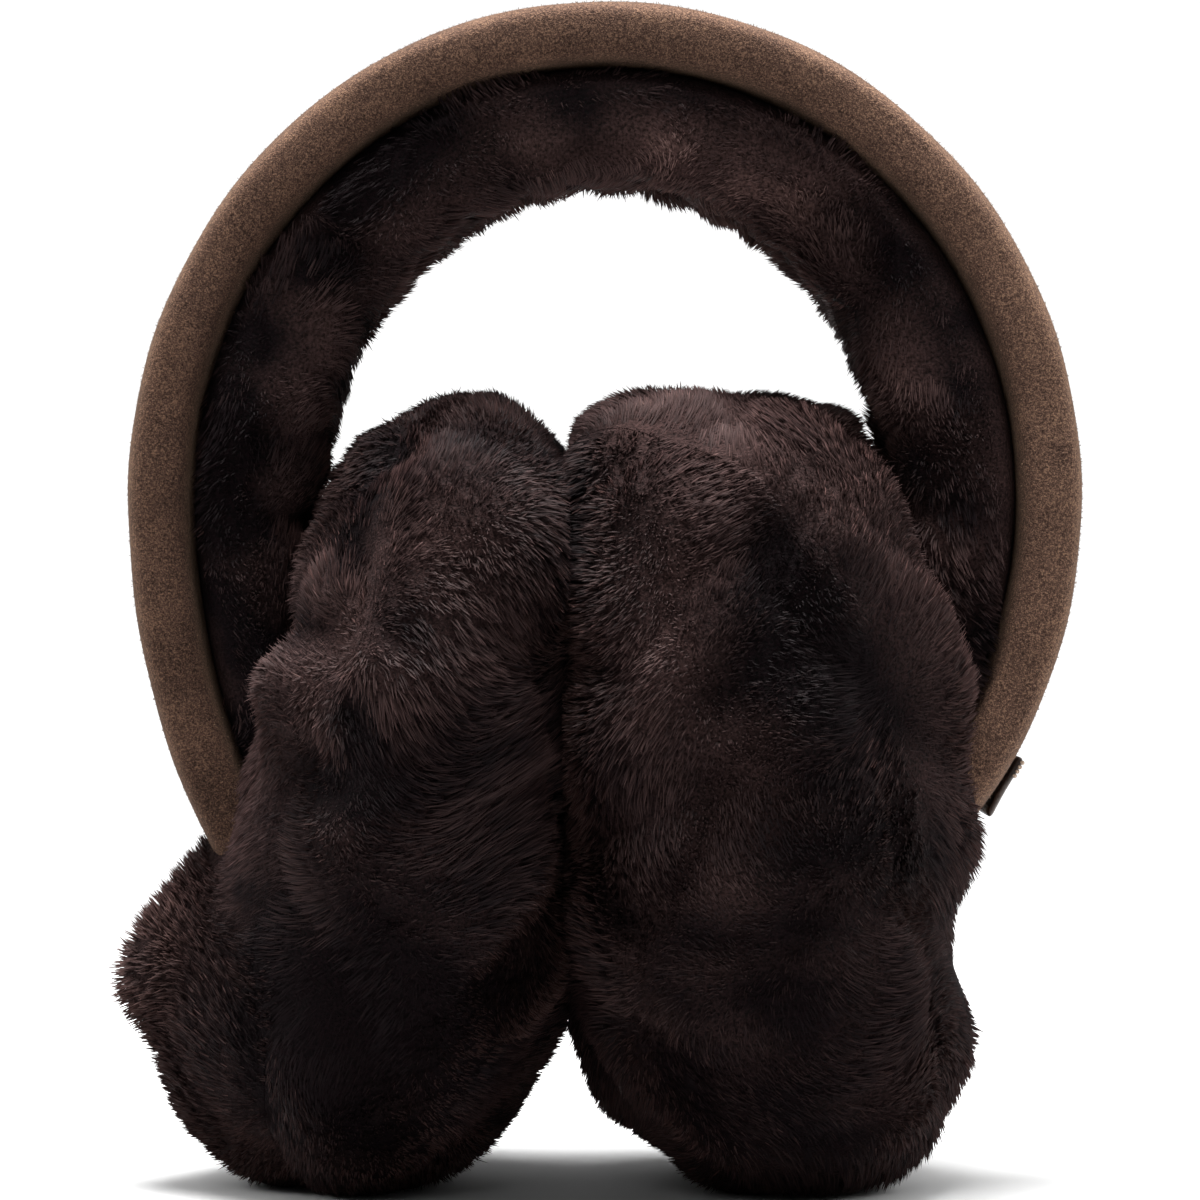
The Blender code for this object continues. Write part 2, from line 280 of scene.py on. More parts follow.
suedeLooks = {
    "tones": ((0.36, "#3b2e27"), (0.5, "#675348"), (0.64, "#9f856f")),
    "bloom": "#c2a184",  # colour of the light that grazes the nap, and its share on the roll and a hair
    "bloomOnRoll": 0.14,
    "bloomOnNap": 0.12,
    # These multiply it as painted shade: once round the roll, dimmer on the outer face and darker beside the
    # wool, and from the right end to the left, darker to the left
    "paintedShadeRound": (
        (0.0, "#d8cdc8"),
        (0.12, "#d8cdc8"),
        (0.25, "#b0a8a4"),
        (0.40, "#d8cdc8"),
        (0.70, "#8c7d7d"),
        (1.0, "#d8cdc8"),
    ),
    # Painted shade, darker towards the left end
    "paintedShadeToLeft": ((0.20, "#ffffff"), (0.50, "#e2e0df"), (0.75, "#d4d0ce"), (0.95, "#c9c4c2")),
    "blotch": 0.0090,  # metres between strokes of the hand in the nap
    "grain": 0.00048,  # a grain of the sanding and a fibre, drawn coarser than real ones to show
    "fibre": 0.00024,
    "grainShare": 0.82,  # of grain over blotches, and of fibres over grains
    "fibreShare": 0.45,
}


# Brown suede, the flesh side of a hide sanded to a nap: matt, with a sandy grain, mottled where the nap
# lies over, with painted shade that dims its outer face and the side beside the wool and darkens it to the
# left. On the roll the map runs round it and along it; a nap hair's holds the place along it.
def suedeMaterial(name, tube):
    material, tree, shader = newMaterial(
        name,
        {
            "Roughness": 0.95,
            "Specular IOR Level": 0.10,
            "Sheen Weight": suedeLooks["bloomOnRoll" if tube else "bloomOnNap"],
            "Sheen Roughness": 0.45,
            "Sheen Tint": linear(suedeLooks["bloom"]),
        },
    )
    spot = onObject(tree)
    layers = []
    for size, detail in ((suedeLooks["blotch"], 3.0), (suedeLooks["grain"], 2.0), (suedeLooks["fibre"], 1.0)):
        noise = {"Scale": 1 / size, "Detail": detail, "Roughness": 0.65}
        layers.append(addNode(tree, "ShaderNodeTexNoise", noise, spot).outputs["Fac"])
    share = {"Factor": suedeLooks["fibreShare"]}
    grain = addNode(tree, "ShaderNodeMix", share, {"A": layers[1], "B": layers[2]})
    share = {"Factor": suedeLooks["grainShare"]}
    mottled = addNode(tree, "ShaderNodeMix", share, {"A": layers[0], "B": grain.outputs[0]})
    colour = addNode(tree, "ShaderNodeValToRGB", links={"Fac": mottled.outputs[0]})
    setRamp(colour, suedeLooks["tones"])
    bump = addNode(
        tree, "ShaderNodeBump", {"Strength": 0.8, "Distance": 0.0004}, {"Height": grain.outputs[0]}
    )
    tree.links.new(bump.outputs["Normal"], shader.inputs["Normal"])
    halves = mapHalves(tree)
    # Painted shade, darker towards the left end
    paintedShadeToLeft = addNode(tree, "ShaderNodeValToRGB", links={"Fac": halves["Y" if tube else "X"]})
    setRamp(paintedShadeToLeft, suedeLooks["paintedShadeToLeft"])
    pair = {6: colour.outputs["Color"], 7: paintedShadeToLeft.outputs["Color"]}
    colour = addNode(tree, "ShaderNodeMix", {"Factor": 1.0}, pair, **multiplied)
    if not tube:
        tree.links.new(colour.outputs[2], shader.inputs["Base Color"])
        return material
    # Painted shade round the roll: a dimmer outer face, darker beside the wool
    edge = addNode(tree, "ShaderNodeValToRGB", links={"Fac": halves["X"]})
    setRamp(edge, suedeLooks["paintedShadeRound"])
    pair = {6: colour.outputs[2], 7: edge.outputs["Color"]}
    both = addNode(tree, "ShaderNodeMix", {"Factor": 1.0}, pair, **multiplied)
    tree.links.new(both.outputs[2], shader.inputs["Base Color"])
    return material


leatherLooks = {
    "tones": ((0.3, "#1d120d"), (0.7, "#3a2a22")),
    "pore": 0.00066667,  # metres from pore to pore, drawn coarser than real ones to show
    "cloud": 0.0028571,  # from one dark cloud of the dye to the next
}


# Dark brown calf leather of the tab: smooth, fine pores, a low shine
def leatherMaterial(name):
    material, tree, shader = newMaterial(name, {"Roughness": 0.48, "IOR": 1.5, "Specular IOR Level": 0.4})
    spot = onObject(tree)
    pores = addNode(tree, "ShaderNodeTexVoronoi", {"Scale": 1 / leatherLooks["pore"]}, spot, feature="F1")
    tone = addNode(tree, "ShaderNodeTexNoise", {"Scale": 1 / leatherLooks["cloud"], "Detail": 3.0}, spot)
    colour = addNode(tree, "ShaderNodeValToRGB", links={"Fac": tone.outputs["Fac"]})
    setRamp(colour, leatherLooks["tones"])
    bump = addNode(
        tree, "ShaderNodeBump", {"Strength": 0.4, "Distance": 0.0002}, {"Height": pores.outputs["Distance"]}
    )
    tree.links.new(colour.outputs["Color"], shader.inputs["Base Color"])
    tree.links.new(bump.outputs["Normal"], shader.inputs["Normal"])
    return material


threadLooks = {
    "tones": ((0.2, "#6b5646"), (0.8, "#a08a76")),
    "turn": 0.0008976,  # metres of one turn of the twist; the wave has 10 radians in a metre at scale 1
}


# Waxed sewing thread, twisted from three yarns, whose turns show as slanting bands
def threadMaterial(name):
    material, tree, shader = newMaterial(name, {"Roughness": 0.6, "Specular IOR Level": 0.3})
    waves = {"Scale": 2 * math.pi / 10 / threadLooks["turn"], "Distortion": 1.0}
    twist = addNode(tree, "ShaderNodeTexWave", waves, onObject(tree), bands_direction="DIAGONAL")
    colour = addNode(tree, "ShaderNodeValToRGB", links={"Fac": twist.outputs["Fac"]})
    setRamp(colour, threadLooks["tones"])
    tree.links.new(colour.outputs["Color"], shader.inputs["Base Color"])
    return material


# Headband

band = {
    "level": 0.1170,  # height of its widest level
    "rise": 0.0838,  # from there to the top
    "dropLeft": 0.1060,  # the longer ellipse below the level, left and right
    "dropRight": 0.0860,
    "halfWidth": 0.0808,
    "endAngle": math.radians(44),
    "coverThickness": 0.0114,
    "coverRounding": 4.2,
}
lowCover, highCover = (np.array(corner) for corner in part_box("band_cover"))
bandDepth = highCover[1] - lowCover[1]


# The band's outer line is half an ellipse above the level and a quarter of a longer one at each
# side below it. A point lies s inwards from it along its normal, and y across its depth.
def bandPoints(t, s, y):
    drop = np.where(np.cos(t) > 0, band["dropRight"], band["dropLeft"])
    reach = np.where(np.sin(t) > 0, band["rise"], drop)
    normal = unit(np.stack([reach * np.cos(t), band["halfWidth"] * np.sin(t)], axis=-1))
    x = band["halfWidth"] * np.cos(t) - s * normal[..., 0]
    z = band["level"] + reach * np.sin(t) - s * normal[..., 1]
    return np.stack([x, y + 0 * x, z], axis=-1)


# Where a point lies on the band: its angle t, and how far s inwards of the outer line
def bandPlace(points):
    x, up = points[..., 0], points[..., 2] - band["level"]
    reach = np.where(up > 0, band["rise"], np.where(x > 0, band["dropRight"], band["dropLeft"]))
    t = np.arctan2(up / reach, x / band["halfWidth"])
    t = np.where(t < -math.pi / 2, t + 2 * math.pi, t)
    outer = bandPoints(t, 0.0, points[..., 1])
    inner = bandPoints(t, 1.0, points[..., 1])
    return t, ((points - outer) * (inner - outer)).sum(axis=-1)


# 0 at the band's top and 1 at either end
def downBand(t):
    return np.abs(t - math.pi / 2) / (math.pi / 2 + band["endAngle"])


# The band's angle at a share of its length, from 0 at its right end to 1 at its left
def bandAngle(share):
    return -band["endAngle"] + share * (math.pi + 2 * band["endAngle"])


cover = {
    "rings": 170,
    "sides": 40,
    "wobble": 0.00035,  # unevenness of the padding, and its waves in radians to a metre of x, y and z
    "waves": (210, 480, 260),
    "endShare": 0.016,  # how much of the band's length narrows at each end, and by what share
    "endNarrowing": 0.35,
    "napHairs": 15000,
    "napLength": 0.00045,
    "napWidth": 0.00011,  # coarser than a real fibre, to show
    "napLean": 0.5,  # how far a hair lies over for its length, and over what size all turn alike
    "napPatch": 0.012,
}


# The padded roll: a rounded bar along the band, its section a superellipse of bandDepth by the
# thickness, with slow waves of the padding under it
def coverSurface(share, turn):
    t, angle = bandAngle(share), 2 * math.pi * turn
    across = signedPower(np.cos(angle), 2 / band["coverRounding"])
    through = 0.5 - 0.5 * signedPower(np.sin(angle), 2 / band["coverRounding"])
    points = bandPoints(t, band["coverThickness"] * through, across * bandDepth / 2)
    x, y, z = (points[..., k] * cover["waves"][k] for k in range(3))
    uneven = np.sin(x + y) + np.sin(z + 1.7)
    middle = bandPoints(t, band["coverThickness"] / 2, 0.0)
    points = points + unit(points - middle) * (uneven * cover["wobble"] / 2)[..., None]
    end = 1 - np.clip(np.minimum(share, 1 - share) / cover["endShare"], 0, 1)
    return middle + (points - middle) * (1 - cover["endNarrowing"] * end**2)[..., None]


# The roll as a closed tube, with its map once round it and once along it
def buildCover():
    share, turn = np.meshgrid(
        np.linspace(0, 1, cover["rings"]), np.arange(cover["sides"]) / cover["sides"], indexing="ij"
    )
    points, triangles = closedTube(coverSurface(share, turn))
    places = np.concatenate([np.stack([turn, share], -1).reshape(-1, 2), [[0.5, 0.0], [0.5, 1.0]]])
    suede = suedeMaterial("brown suede", tube=True)
    piece = makeMesh("suede_band", points, triangles, suede, places=places, around=True)
    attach(piece, "root")
    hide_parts("band_cover")


# Pile

# Hairs as closed spindles of four corners: root, tip, and a left and a right corner partway up that
# stand off the line between them, so that the hair bends over. Its shading runs round it like a
# thread's. The map holds its shade across and the way up it along.
def growHairs(name, roots, tips, out, width, shade, material, bend=0.00025, middle=0.58):
    line = unit(tips - roots)
    side = unit(np.cross(line, out + 0.5 * chance.normal(size=out.shape)))
    face = unit(np.cross(side, line))
    face = face * np.sign(along(face, out) + 1e-9)
    centre = roots + (tips - roots) * middle + face * bend
    half = side * width[:, None] / 2
    corners = np.stack([roots, centre - half, centre + half, tips], axis=1)
    lift = np.cross(corners[:, 1] - roots, corners[:, 2] - roots)
    flip = (lift * (tips - roots)).sum(axis=-1) < 0
    corners[flip] = corners[flip][:, [0, 2, 1, 3]]
    shine = unit(1.1 * face + out)
    around = unit(corners[:, 1] - centre)
    shading = np.stack([shine, unit(shine + 0.5 * around), unit(shine - 0.5 * around), shine], axis=1)
    start = 4 * np.arange(len(roots))[:, None, None]
    triangles = start + np.array([[0, 2, 1], [0, 1, 3], [1, 2, 3], [0, 3, 2]])[None]
    across = np.clip(shade, 0.02, 0.98)
    places = np.stack([across, across - 0.012, across + 0.012, across], axis=1)
    up = np.array([0.02, middle, middle, 0.98])[None] + 0 * places
    return makeMesh(
        name,
        corners.reshape(-1, 3),
        triangles.reshape(-1, 3),
        material,
        shading.reshape(-1, 3),
        np.stack([places, up], axis=-1).reshape(-1, 2),
    )


fleece = {
    "level": 0.42,  # how bright the wool is as a whole, from 0 to 1
    "patches": ((0.016, 0.06), (0.005, 0.06)),  # their size in metres, and how far their shade strays
    "tuftChange": 0.05,  # how far the shade of a tuft strays, and of a hair
    "hairChange": 0.09,
    "lockShift": 0.25,  # how far a lock's root strays from its even place, as a share of the spacing
    "gather": 0.25,  # how much closer a tuft's tips lie than its roots
    "stray": 0.00018,  # how far a tip strays from there
    "longShare": 0.01,  # the few hairs that stand out, and how many times as far as the others
    "longReach": 4,
    "widths": (0.7, 1.3),  # least and most of a hair's width, as shares of the mean
}


# Hairs in tufts: each tuft's hairs stand round its root, and their tips lie closer by a share
def tufts(roots, tips, out, fur, rng):
    each, uneven = fur["each"], fur["uneven"]
    count = len(roots) * each
    around = rng.normal(size=(count, 3)) * fur["spread"]
    level = np.repeat(out, each, axis=0)
    around = around - along(around, level) * level
    base = np.repeat(roots, each, axis=0) + around
    line = np.repeat(tips - roots, each, axis=0)
    length = np.linalg.norm(line, axis=1, keepdims=True)
    grown = rng.normal(size=(count, 1)) * uneven
    grown = grown + (rng.random((count, 1)) < fleece["longShare"]) * uneven * fleece["longReach"]
    ends = np.repeat(roots, each, axis=0) + line * (1 + grown / length)
    ends = ends + around * (1 - fleece["gather"]) + rng.normal(size=(count, 3)) * fleece["stray"]
    return base, ends, level


# How bright the wool is at a place, from 0 to 1: slow patches of the fleece with smaller ones on them
def fleeceShade(points):
    rng = np.random.default_rng(9)
    shade = fleece["level"]
    for size, change in fleece["patches"]:
        shade = shade + change * wander(points, size, rng)[..., 0]
    return shade


# A hair's shade: the fleece's at its root, its tuft's and its own
def hairShade(field, each, rng):
    tuft = np.repeat(rng.normal(size=len(field) // each), each)
    return field + fleece["tuftChange"] * tuft + fleece["hairChange"] * rng.normal(size=len(field))


# A map with the shade across it, half way up
def shadePlaces(shade):
    return np.stack([np.clip(shade, 0.02, 0.98), 0.5 + 0 * shade], axis=-1)


lining = {
    # Painted shade down the left side, and painted light up the right, where the value is negative
    "paintedShadeLeft": 0.24,  # how much darker the wool is at the left side, and at the right
    "paintedShadeRight": -0.07,
    "paintedShadeReach": 0.06,
    "lockChange": 0.17,  # how far the shade of a lock strays, and the size of its patches
    "lockPatch": 0.010,
    # Painted shade in the creases between locks
    "paintedCreaseShade": 0.60,  # how much darker it is between two locks than on them
    # Painted light up beside the cover
    "paintedLightNearCover": 0.20,  # how much brighter the wool is that lies up beside the cover, and how far in
    "nearReach": 0.008,
    "thickness": 0.0166,
    "inset": 0.0003,  # how far its sides lie inside the cover's, and its back in the cover itself
    "gap": -0.0003,
    "rounding": 3.8,
    "lockReach": 0.0115,
    "lockRise": 0.0058,
    "lockSpacing": 0.0144,
    "lockRows": 3,
    # How far down the band, and the thickness there as a share
    "steps": ((0.00, 0.90), (0.30, 1.00), (0.62, 1.04), (0.80, 0.85), (1.00, 0.40)),
    "pile": 0.0029,  # length of a hair
    "hide": 0.0012,  # how far the hide lies under the tips
    "core": 0.0015,  # how far inside the cover the line lies that its hairs point away from
    "lean": 0.0021,  # how far a hair leans as the wool wanders, over what size, and from its lock
    "leanSize": 0.018,
    "lockLean": 0.0006,
    "tufts": 7800,
    "each": 6,  # hairs in a tuft, how far round its root they spread, and how uneven they are
    "spread": 0.0007,
    "uneven": 0.0002,
    "width": 0.00025,  # of a hair, which stands for a strand of wool: a fibre is too fine to show
}


# The lining's wool has painted shade down its left side and in its creases, painted light up beside the
# cover and on its right, and is mottled by its locks
def liningShade(points):
    rng = np.random.default_rng(13)
    left = np.clip(-points[..., 0] / lining["paintedShadeReach"], 0, 1)
    right = np.clip(points[..., 0] / lining["paintedShadeReach"], 0, 1)
    locks = lining["lockChange"] * wander(points, lining["lockPatch"], rng)[..., 0]
    depth = bandPlace(points)[1] - band["coverThickness"]
    # Painted light up beside the cover
    near = np.clip(1 - depth / lining["nearReach"], 0, 1)
    # Painted shade on the left, painted light on the right
    sides = lining["paintedShadeLeft"] * left + lining["paintedShadeRight"] * right
    relief, _ = lockRelief(points, liningLocks, lining["lockReach"])
    # Painted shade in the creases between locks
    creases = lining["paintedCreaseShade"] * (relief - 0.5)
    return fleeceShade(points) + locks + creases - sides + lining["paintedLightNearCover"] * near


# The lining's thickness, on straight lines between its steps down the band
def liningThickness(t):
    places, shares = zip(*lining["steps"])
    return lining["thickness"] * np.interp(downBand(t), places, shares)


# Roots of the lining's locks: rows over its depth, each half a pitch on from the last, and every root
# moved a little by chance
def liningRoots():
    length = (math.pi / 2 + band["endAngle"]) * 2 * (band["halfWidth"] - band["coverThickness"])
    count = round(length / lining["lockSpacing"])
    pitch = (math.pi + 2 * band["endAngle"]) / count
    rows = lining["lockRows"]
    roots = []
    for row in range(rows):
        shift = chance.uniform(-fleece["lockShift"], fleece["lockShift"], (2, count))
        t = bandAngle(np.linspace(0, 1, count)) + (shift[0] + row / 2) * pitch
        y = (row - (rows - 1) / 2 + shift[1]) * bandDepth / rows
        roots.append(bandPoints(t, band["coverThickness"] + liningThickness(t), y))
    return np.concatenate(roots)


# Relief of locks of wool: 1 over a lock's root and falling with the square of the distance, so that
# neighbours meet in a crease. Also the way from the nearest root, which the hairs lean along.
def lockRelief(points, roots, reach):
    nearest = np.full(len(points), np.inf)
    away = np.zeros(points.shape)
    for root in roots:
        offset = points - root
        distance = (offset**2).sum(axis=1)
        closer = distance < nearest
        nearest = np.where(closer, distance, nearest)
        away = np.where(closer[:, None], offset, away)
    return 1 - np.minimum(nearest / reach**2, 1), away / reach


liningLocks = liningRoots()


# The lining's outer form: a rounded bar inside the cover, with locks on its inner half. Deep is how
# far under that form the surface lies.
def liningForm(share, turn, deep=0.0):
    t, angle = bandAngle(share), 2 * math.pi * turn
    across = signedPower(np.cos(angle), 2 / lining["rounding"])
    through = 0.5 - 0.5 * signedPower(np.sin(angle), 2 / lining["rounding"])
    y = across * (bandDepth / 2 - lining["inset"] - 0.7 * deep)
    thick = liningThickness(t) - lining["gap"]
    s = band["coverThickness"] + lining["gap"] + np.maximum(thick - deep, 0.3 * thick) * through
    points = bandPoints(t, s, y)
    relief, away = lockRelief(points.reshape(-1, 3), liningLocks, lining["lockReach"])
    fade = np.clip(5 * (1 - downBand(t)), 0, 1) * np.clip(2 * through - 0.5, 0, 1)
    points = bandPoints(t, s + lining["lockRise"] * relief.reshape(t.shape) * fade, y)
    return points, away.reshape(points.shape), through, t


# The lining's hide, and its pile: tips on the outer form, roots a hair's length under them, and a lean
# that wanders and follows the locks
def buildLining(wool, skin):
    def surface(share, turn, deep=0.0):
        return liningForm(share, turn, deep)[0]

    share, turn = np.meshgrid(np.linspace(0, 1, 190), np.arange(44) / 44, indexing="ij")
    points, triangles = closedTube(surface(share, turn, lining["hide"]))
    base = makeMesh("lining_hide", points, triangles, skin, places=shadePlaces(liningShade(points)))
    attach(base, "root")
    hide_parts("band_fur")

    rng = np.random.default_rng(21)
    middle = band["coverThickness"] + lining["core"]
    u, v = scatter(
        surface,
        lambda grid: np.where(bandPlace(grid)[1] > middle, 1.0, 0.1),
        lining["tufts"],
        rng,
        cells=(260, 60),
    )
    tips, away, _, t = liningForm(u, v)
    core = bandPoints(t, middle, 0.62 * tips[:, 1])
    normal = slopeNormals(surface, u, v, tips - core)
    out = unit(0.5 * unit(tips - core) + 0.5 * normal)
    lean = lining["lean"] * wander(tips, lining["leanSize"], rng) + lining["lockLean"] * away
    lean = lean - along(lean, out) * out
    length = np.minimum(np.linalg.norm(tips - core, axis=1), lining["pile"])[:, None]
    roots = tips - out * length
    tips = tips + lean * length / lining["pile"] - out * 0.0002
    roots, tips, normal = tufts(roots, tips, normal, lining, rng)
    shade = hairShade(liningShade(roots), lining["each"], rng)
    width = lining["width"] * rng.uniform(*fleece["widths"], len(roots))
    piece = growHairs("lining_pile", roots, tips, normal, width, shade, wool)
    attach(piece, "root")


# Ear pads

pads = {
    "height": 0.1350,
    "squash": 0.0045,  # how much of it the ground has pressed flat
    "depth": 0.1180,
    "rounding": 2.5,
    "meetingPlane": -0.0064,  # where it stands in x, and how far each pad is pressed flat on it
    "press": 0.0015,
    "swell": 0.0021,  # how far the pads' near sides swell to each other, and how deep that reaches
    "swellReach": 0.0120,
    "swellLow": (0.016, 0.038),  # heights between which the swelling sets in, and ends
    "swellHigh": (0.114, 0.128),
    "lockReach": 0.0140,
    "lockRise": 0.0024,
    "locks": 100,
    "grooveTop": 0.118,  # height where the valley begins, and how far below it has its whole depth
    "grooveRun": 0.035,
    "pile": 0.0032,  # length of a hair
    "hide": 0.0014,  # how far the hide lies under the tips, less than this within thinReach of the plane
    "thinReach": 0.0050,
    "seamGap": 0.00015,  # how far it stops short of the seam, and its rim turns in there
    "rimTurn": 0.0030,
    # Painted light and shade by height: darker low down and lighter at the top, as the light falls from above
    "paintedShadeByHeight": (  # height, and how much brighter the wool is there
        (0.0, -0.12),
        (0.02, -0.18),
        (0.045, -0.16),
        (0.075, -0.06),
        (0.10, 0.0),
        (0.13, 0.06),
    ),
    # Painted shadow where the pads meet
    "paintedContactShadow": 0.45,  # how much darker the wool is where the pads meet, and how far from there
    "contactShadowReach": 0.0045,
    # Painted shade beside the seam
    "seamShadeShift": 0.12,  # where that beside the seam lies, and its spread, across the pad's face
    "seamShadeSpread": 0.20,
    # Painted light round the outline and behind
    "paintedRimLight": 0.10,  # how much brighter it is round the outline and behind
    "patchRise": 0.0065,  # how far a patch's full change lifts the wool
    # Painted light on the lobes' tufts, whose wool also stands longer
    "tuftedFrom": 0.0050,  # swelling from which a lobe's wool stands up longer and brighter
    "tuftedLonger": 0.0016,
    "tuftedPaintedLight": 0.42,
    "lean": 0.0024,
    "leanSize": 0.024,
    "lockLean": 0.0006,
    "sag": 0.0004,  # how far a tip hangs down
    "flatShare": 0.35,  # of the pile where the pad is pressed flat
    "bandMargin": 0.0004,  # how far hairs stay off the band
    "tufts": 7000,
    "each": 6,
    "spread": 0.0008,
    "uneven": 0.00025,
    "width": 0.00025,
}

# Sections give a pad's outline from the front: height from -1 to 1, the lean outwards and the half
# thickness there as shares of its half thickness. Lobes: direction out, front and up, reach and rise
# as shares of the pad's height and half thickness. Patches are the tufts and creases on the front: x, z
# and reach in metres, and how far the wool there is higher and brighter with painted light, or lower and
# darker with painted shade.
leftPad = {
    "side": -1,
    "half": 0.0290,
    "groove": 0.0026,  # depth and spread of the valley along the seam
    "grooveSpread": 0.22,
    # Painted shade beside the seam
    "seamShade": 0.08,  # how much darker its wool is beside the seam
    "turn": math.radians(40),
    "tilt": 0.0,
    "sections": (
        (-1.00, 0.32, 0.92),
        (-0.80, 0.30, 1.15),
        (-0.55, 0.17, 1.14),
        (-0.25, 0.05, 1.03),
        (0.00, 0.00, 0.97),
        (0.35, -0.12, 0.90),
        (0.65, -0.21, 0.93),
        (0.90, -0.30, 0.98),
        (1.00, -0.40, 0.70),
    ),
    "lobes": (
        (0.90, 0.10, -0.36, 0.14, 0.52),
        (0.75, 0.05, -0.80, 0.11, 0.12),
        (0.92, 0.05, -0.60, 0.06, -0.10),
        (0.70, 0.65, 0.28, 0.085, 0.18),
        (0.17, 0.90, 0.38, 0.070, 0.18),
        (0.42, 0.72, 0.72, 0.070, 0.11),
        (-0.35, 0.75, 0.70, 0.13, 0.10),
        (-0.05, 0.95, 0.10, 0.11, 0.12),
        (0.15, 0.90, -0.38, 0.09, -0.16),
        (0.35, 0.85, 0.42, 0.07, -0.12),
        (-0.70, 0.00, -0.71, 0.10, 0.10),
    ),
    "patches": (
        (-0.0163, 0.1171, 0.0070, 0.08),
        (-0.0269, 0.1122, 0.0065, 0.16),
        (-0.0359, 0.1059, 0.0060, 0.18),
        (-0.0407, 0.0986, 0.0055, 0.14),
        (-0.0383, 0.0913, 0.0055, 0.20),
        (-0.0347, 0.0840, 0.0050, 0.28),
        (-0.0200, 0.1275, 0.0105, -0.28),
        (-0.0355, 0.1243, 0.0045, -0.42),
        (-0.0385, 0.1192, 0.0043, -0.46),
        (-0.0400, 0.1140, 0.0041, -0.48),
        (-0.0412, 0.1085, 0.0040, -0.44),
        (-0.0419, 0.1035, 0.0034, -0.30),
        (-0.0326, 0.0945, 0.0050, -0.24),
        (-0.0269, 0.0766, 0.0110, -0.22),
        (-0.0402, 0.0823, 0.0046, -0.46),
        (-0.0415, 0.0718, 0.0070, -0.32),
        (-0.0477, 0.0677, 0.0050, -0.24),
        (-0.0505, 0.0872, 0.0075, 0.30),
        (-0.0451, 0.0783, 0.0045, 0.24),
        (-0.0464, 0.0929, 0.0036, -0.44),
        (-0.0524, 0.0945, 0.0036, -0.34),
        (-0.0456, 0.1124, 0.0050, -0.06),
        (-0.0464, 0.1035, 0.0045, 0.12),
        (-0.0570, 0.0718, 0.0060, 0.18),
        (-0.0554, 0.0612, 0.0060, 0.18),
        (-0.0424, 0.0604, 0.0040, 0.14),
        (-0.0277, 0.0596, 0.0055, 0.16),
        (-0.0230, 0.0960, 0.0100, 0.10),
        (-0.0123, 0.0709, 0.0045, 0.12),
        (-0.0432, 0.0457, 0.0045, 0.12),
        (-0.0380, 0.0290, 0.0240, -0.40),
        (-0.0750, 0.0440, 0.0110, 0.44),
        (-0.0550, 0.0060, 0.0120, 0.24),
    ),
}
rightPad = {
    "side": 1,
    "half": 0.0330,
    "groove": 0.0038,
    "grooveSpread": 0.22,
    # Painted shade beside the seam
    "seamShade": 0.14,
    "turn": math.radians(54),
    "tilt": math.radians(-36),
    "sections": (
        (-1.00, 0.20, 0.90),
        (-0.80, 0.18, 1.08),
        (-0.55, 0.09, 1.08),
        (-0.25, 0.01, 1.00),
        (0.00, 0.00, 0.97),
        (0.35, -0.06, 0.95),
        (0.65, -0.10, 1.03),
        (0.90, -0.19, 1.32),
        (1.00, -0.18, 1.80),
    ),
    "lobes": (
        (0.85, 0.15, -0.58, 0.10, 0.22),
        (-0.45, 0.60, 0.80, 0.16, 0.08),
        (-0.50, 0.80, 0.10, 0.20, 0.10),
        (0.10, 0.95, -0.30, 0.15, -0.08),
        (0.55, 0.70, 0.45, 0.15, 0.08),
        (0.95, 0.30, -0.05, 0.15, 0.10),
        (0.85, 0.40, 0.28, 0.15, 0.20),
        (0.90, 0.35, -0.10, 0.11, 0.12),
        (-0.70, 0.00, -0.71, 0.10, 0.11),
    ),
    "patches": (
        (0.0154, 0.1254, 0.0180, 0.26),
        (0.0397, 0.1205, 0.0110, 0.16),
        (0.0341, 0.1197, 0.0030, -0.20),
        (0.0089, 0.0994, 0.0120, 0.14),
        (0.0105, 0.0880, 0.0060, 0.16),
        (0.0280, 0.1100, 0.0055, -0.30),
        (0.0284, 0.1027, 0.0072, -0.34),
        (0.0341, 0.0929, 0.0085, -0.30),
        (0.0251, 0.0896, 0.0068, -0.28),
        (0.0183, 0.0840, 0.0040, -0.26),
        (0.0397, 0.0790, 0.0110, -0.32),
        (0.0430, 0.0636, 0.0090, -0.20),
        (0.0479, 0.0994, 0.0080, 0.16),
        (0.0527, 0.0848, 0.0065, 0.16),
        (0.0552, 0.0685, 0.0050, 0.16),
        (0.0215, 0.0669, 0.0060, 0.12),
        (0.0202, 0.0571, 0.0060, 0.12),
        (0.0320, 0.0280, 0.0250, -0.12),
        (0.0527, 0.0214, 0.0090, 0.16),
    ),
}


# Unit vector across a pad's seam, from its back panel to its face
def faceDirection(pad):
    level = math.cos(pad["tilt"])
    return np.array(
        [-pad["side"] * level * math.cos(pad["turn"]), -level * math.sin(pad["turn"]), math.sin(pad["tilt"])]
    )


# The smooth pad: a superellipsoid whose middle leans and whose thickness changes with the height
def padBase(pad, directions):
    block = directions / (np.abs(directions) ** pads["rounding"]).sum(axis=1, keepdims=True) ** (
        1 / pads["rounding"]
    )
    heights, leans, widths = zip(*pad["sections"])
    lean, width = np.interp(block[:, 2], heights, leans), np.interp(block[:, 2], heights, widths)
    half, tall = pad["half"], (pads["height"] + pads["squash"]) / 2
    middle = pads["meetingPlane"] + pad["side"] * (half - pads["press"])
    x = middle + pad["side"] * lean * half + width * half * block[:, 0]
    y = block[:, 1] * pads["depth"] / 2
    z = pads["height"] - tall + block[:, 2] * tall
    out = unit(signedPower(block, pads["rounding"] - 1) / np.array([half, pads["depth"] / 2, tall]))
    return np.stack([x, y, z], axis=-1), out


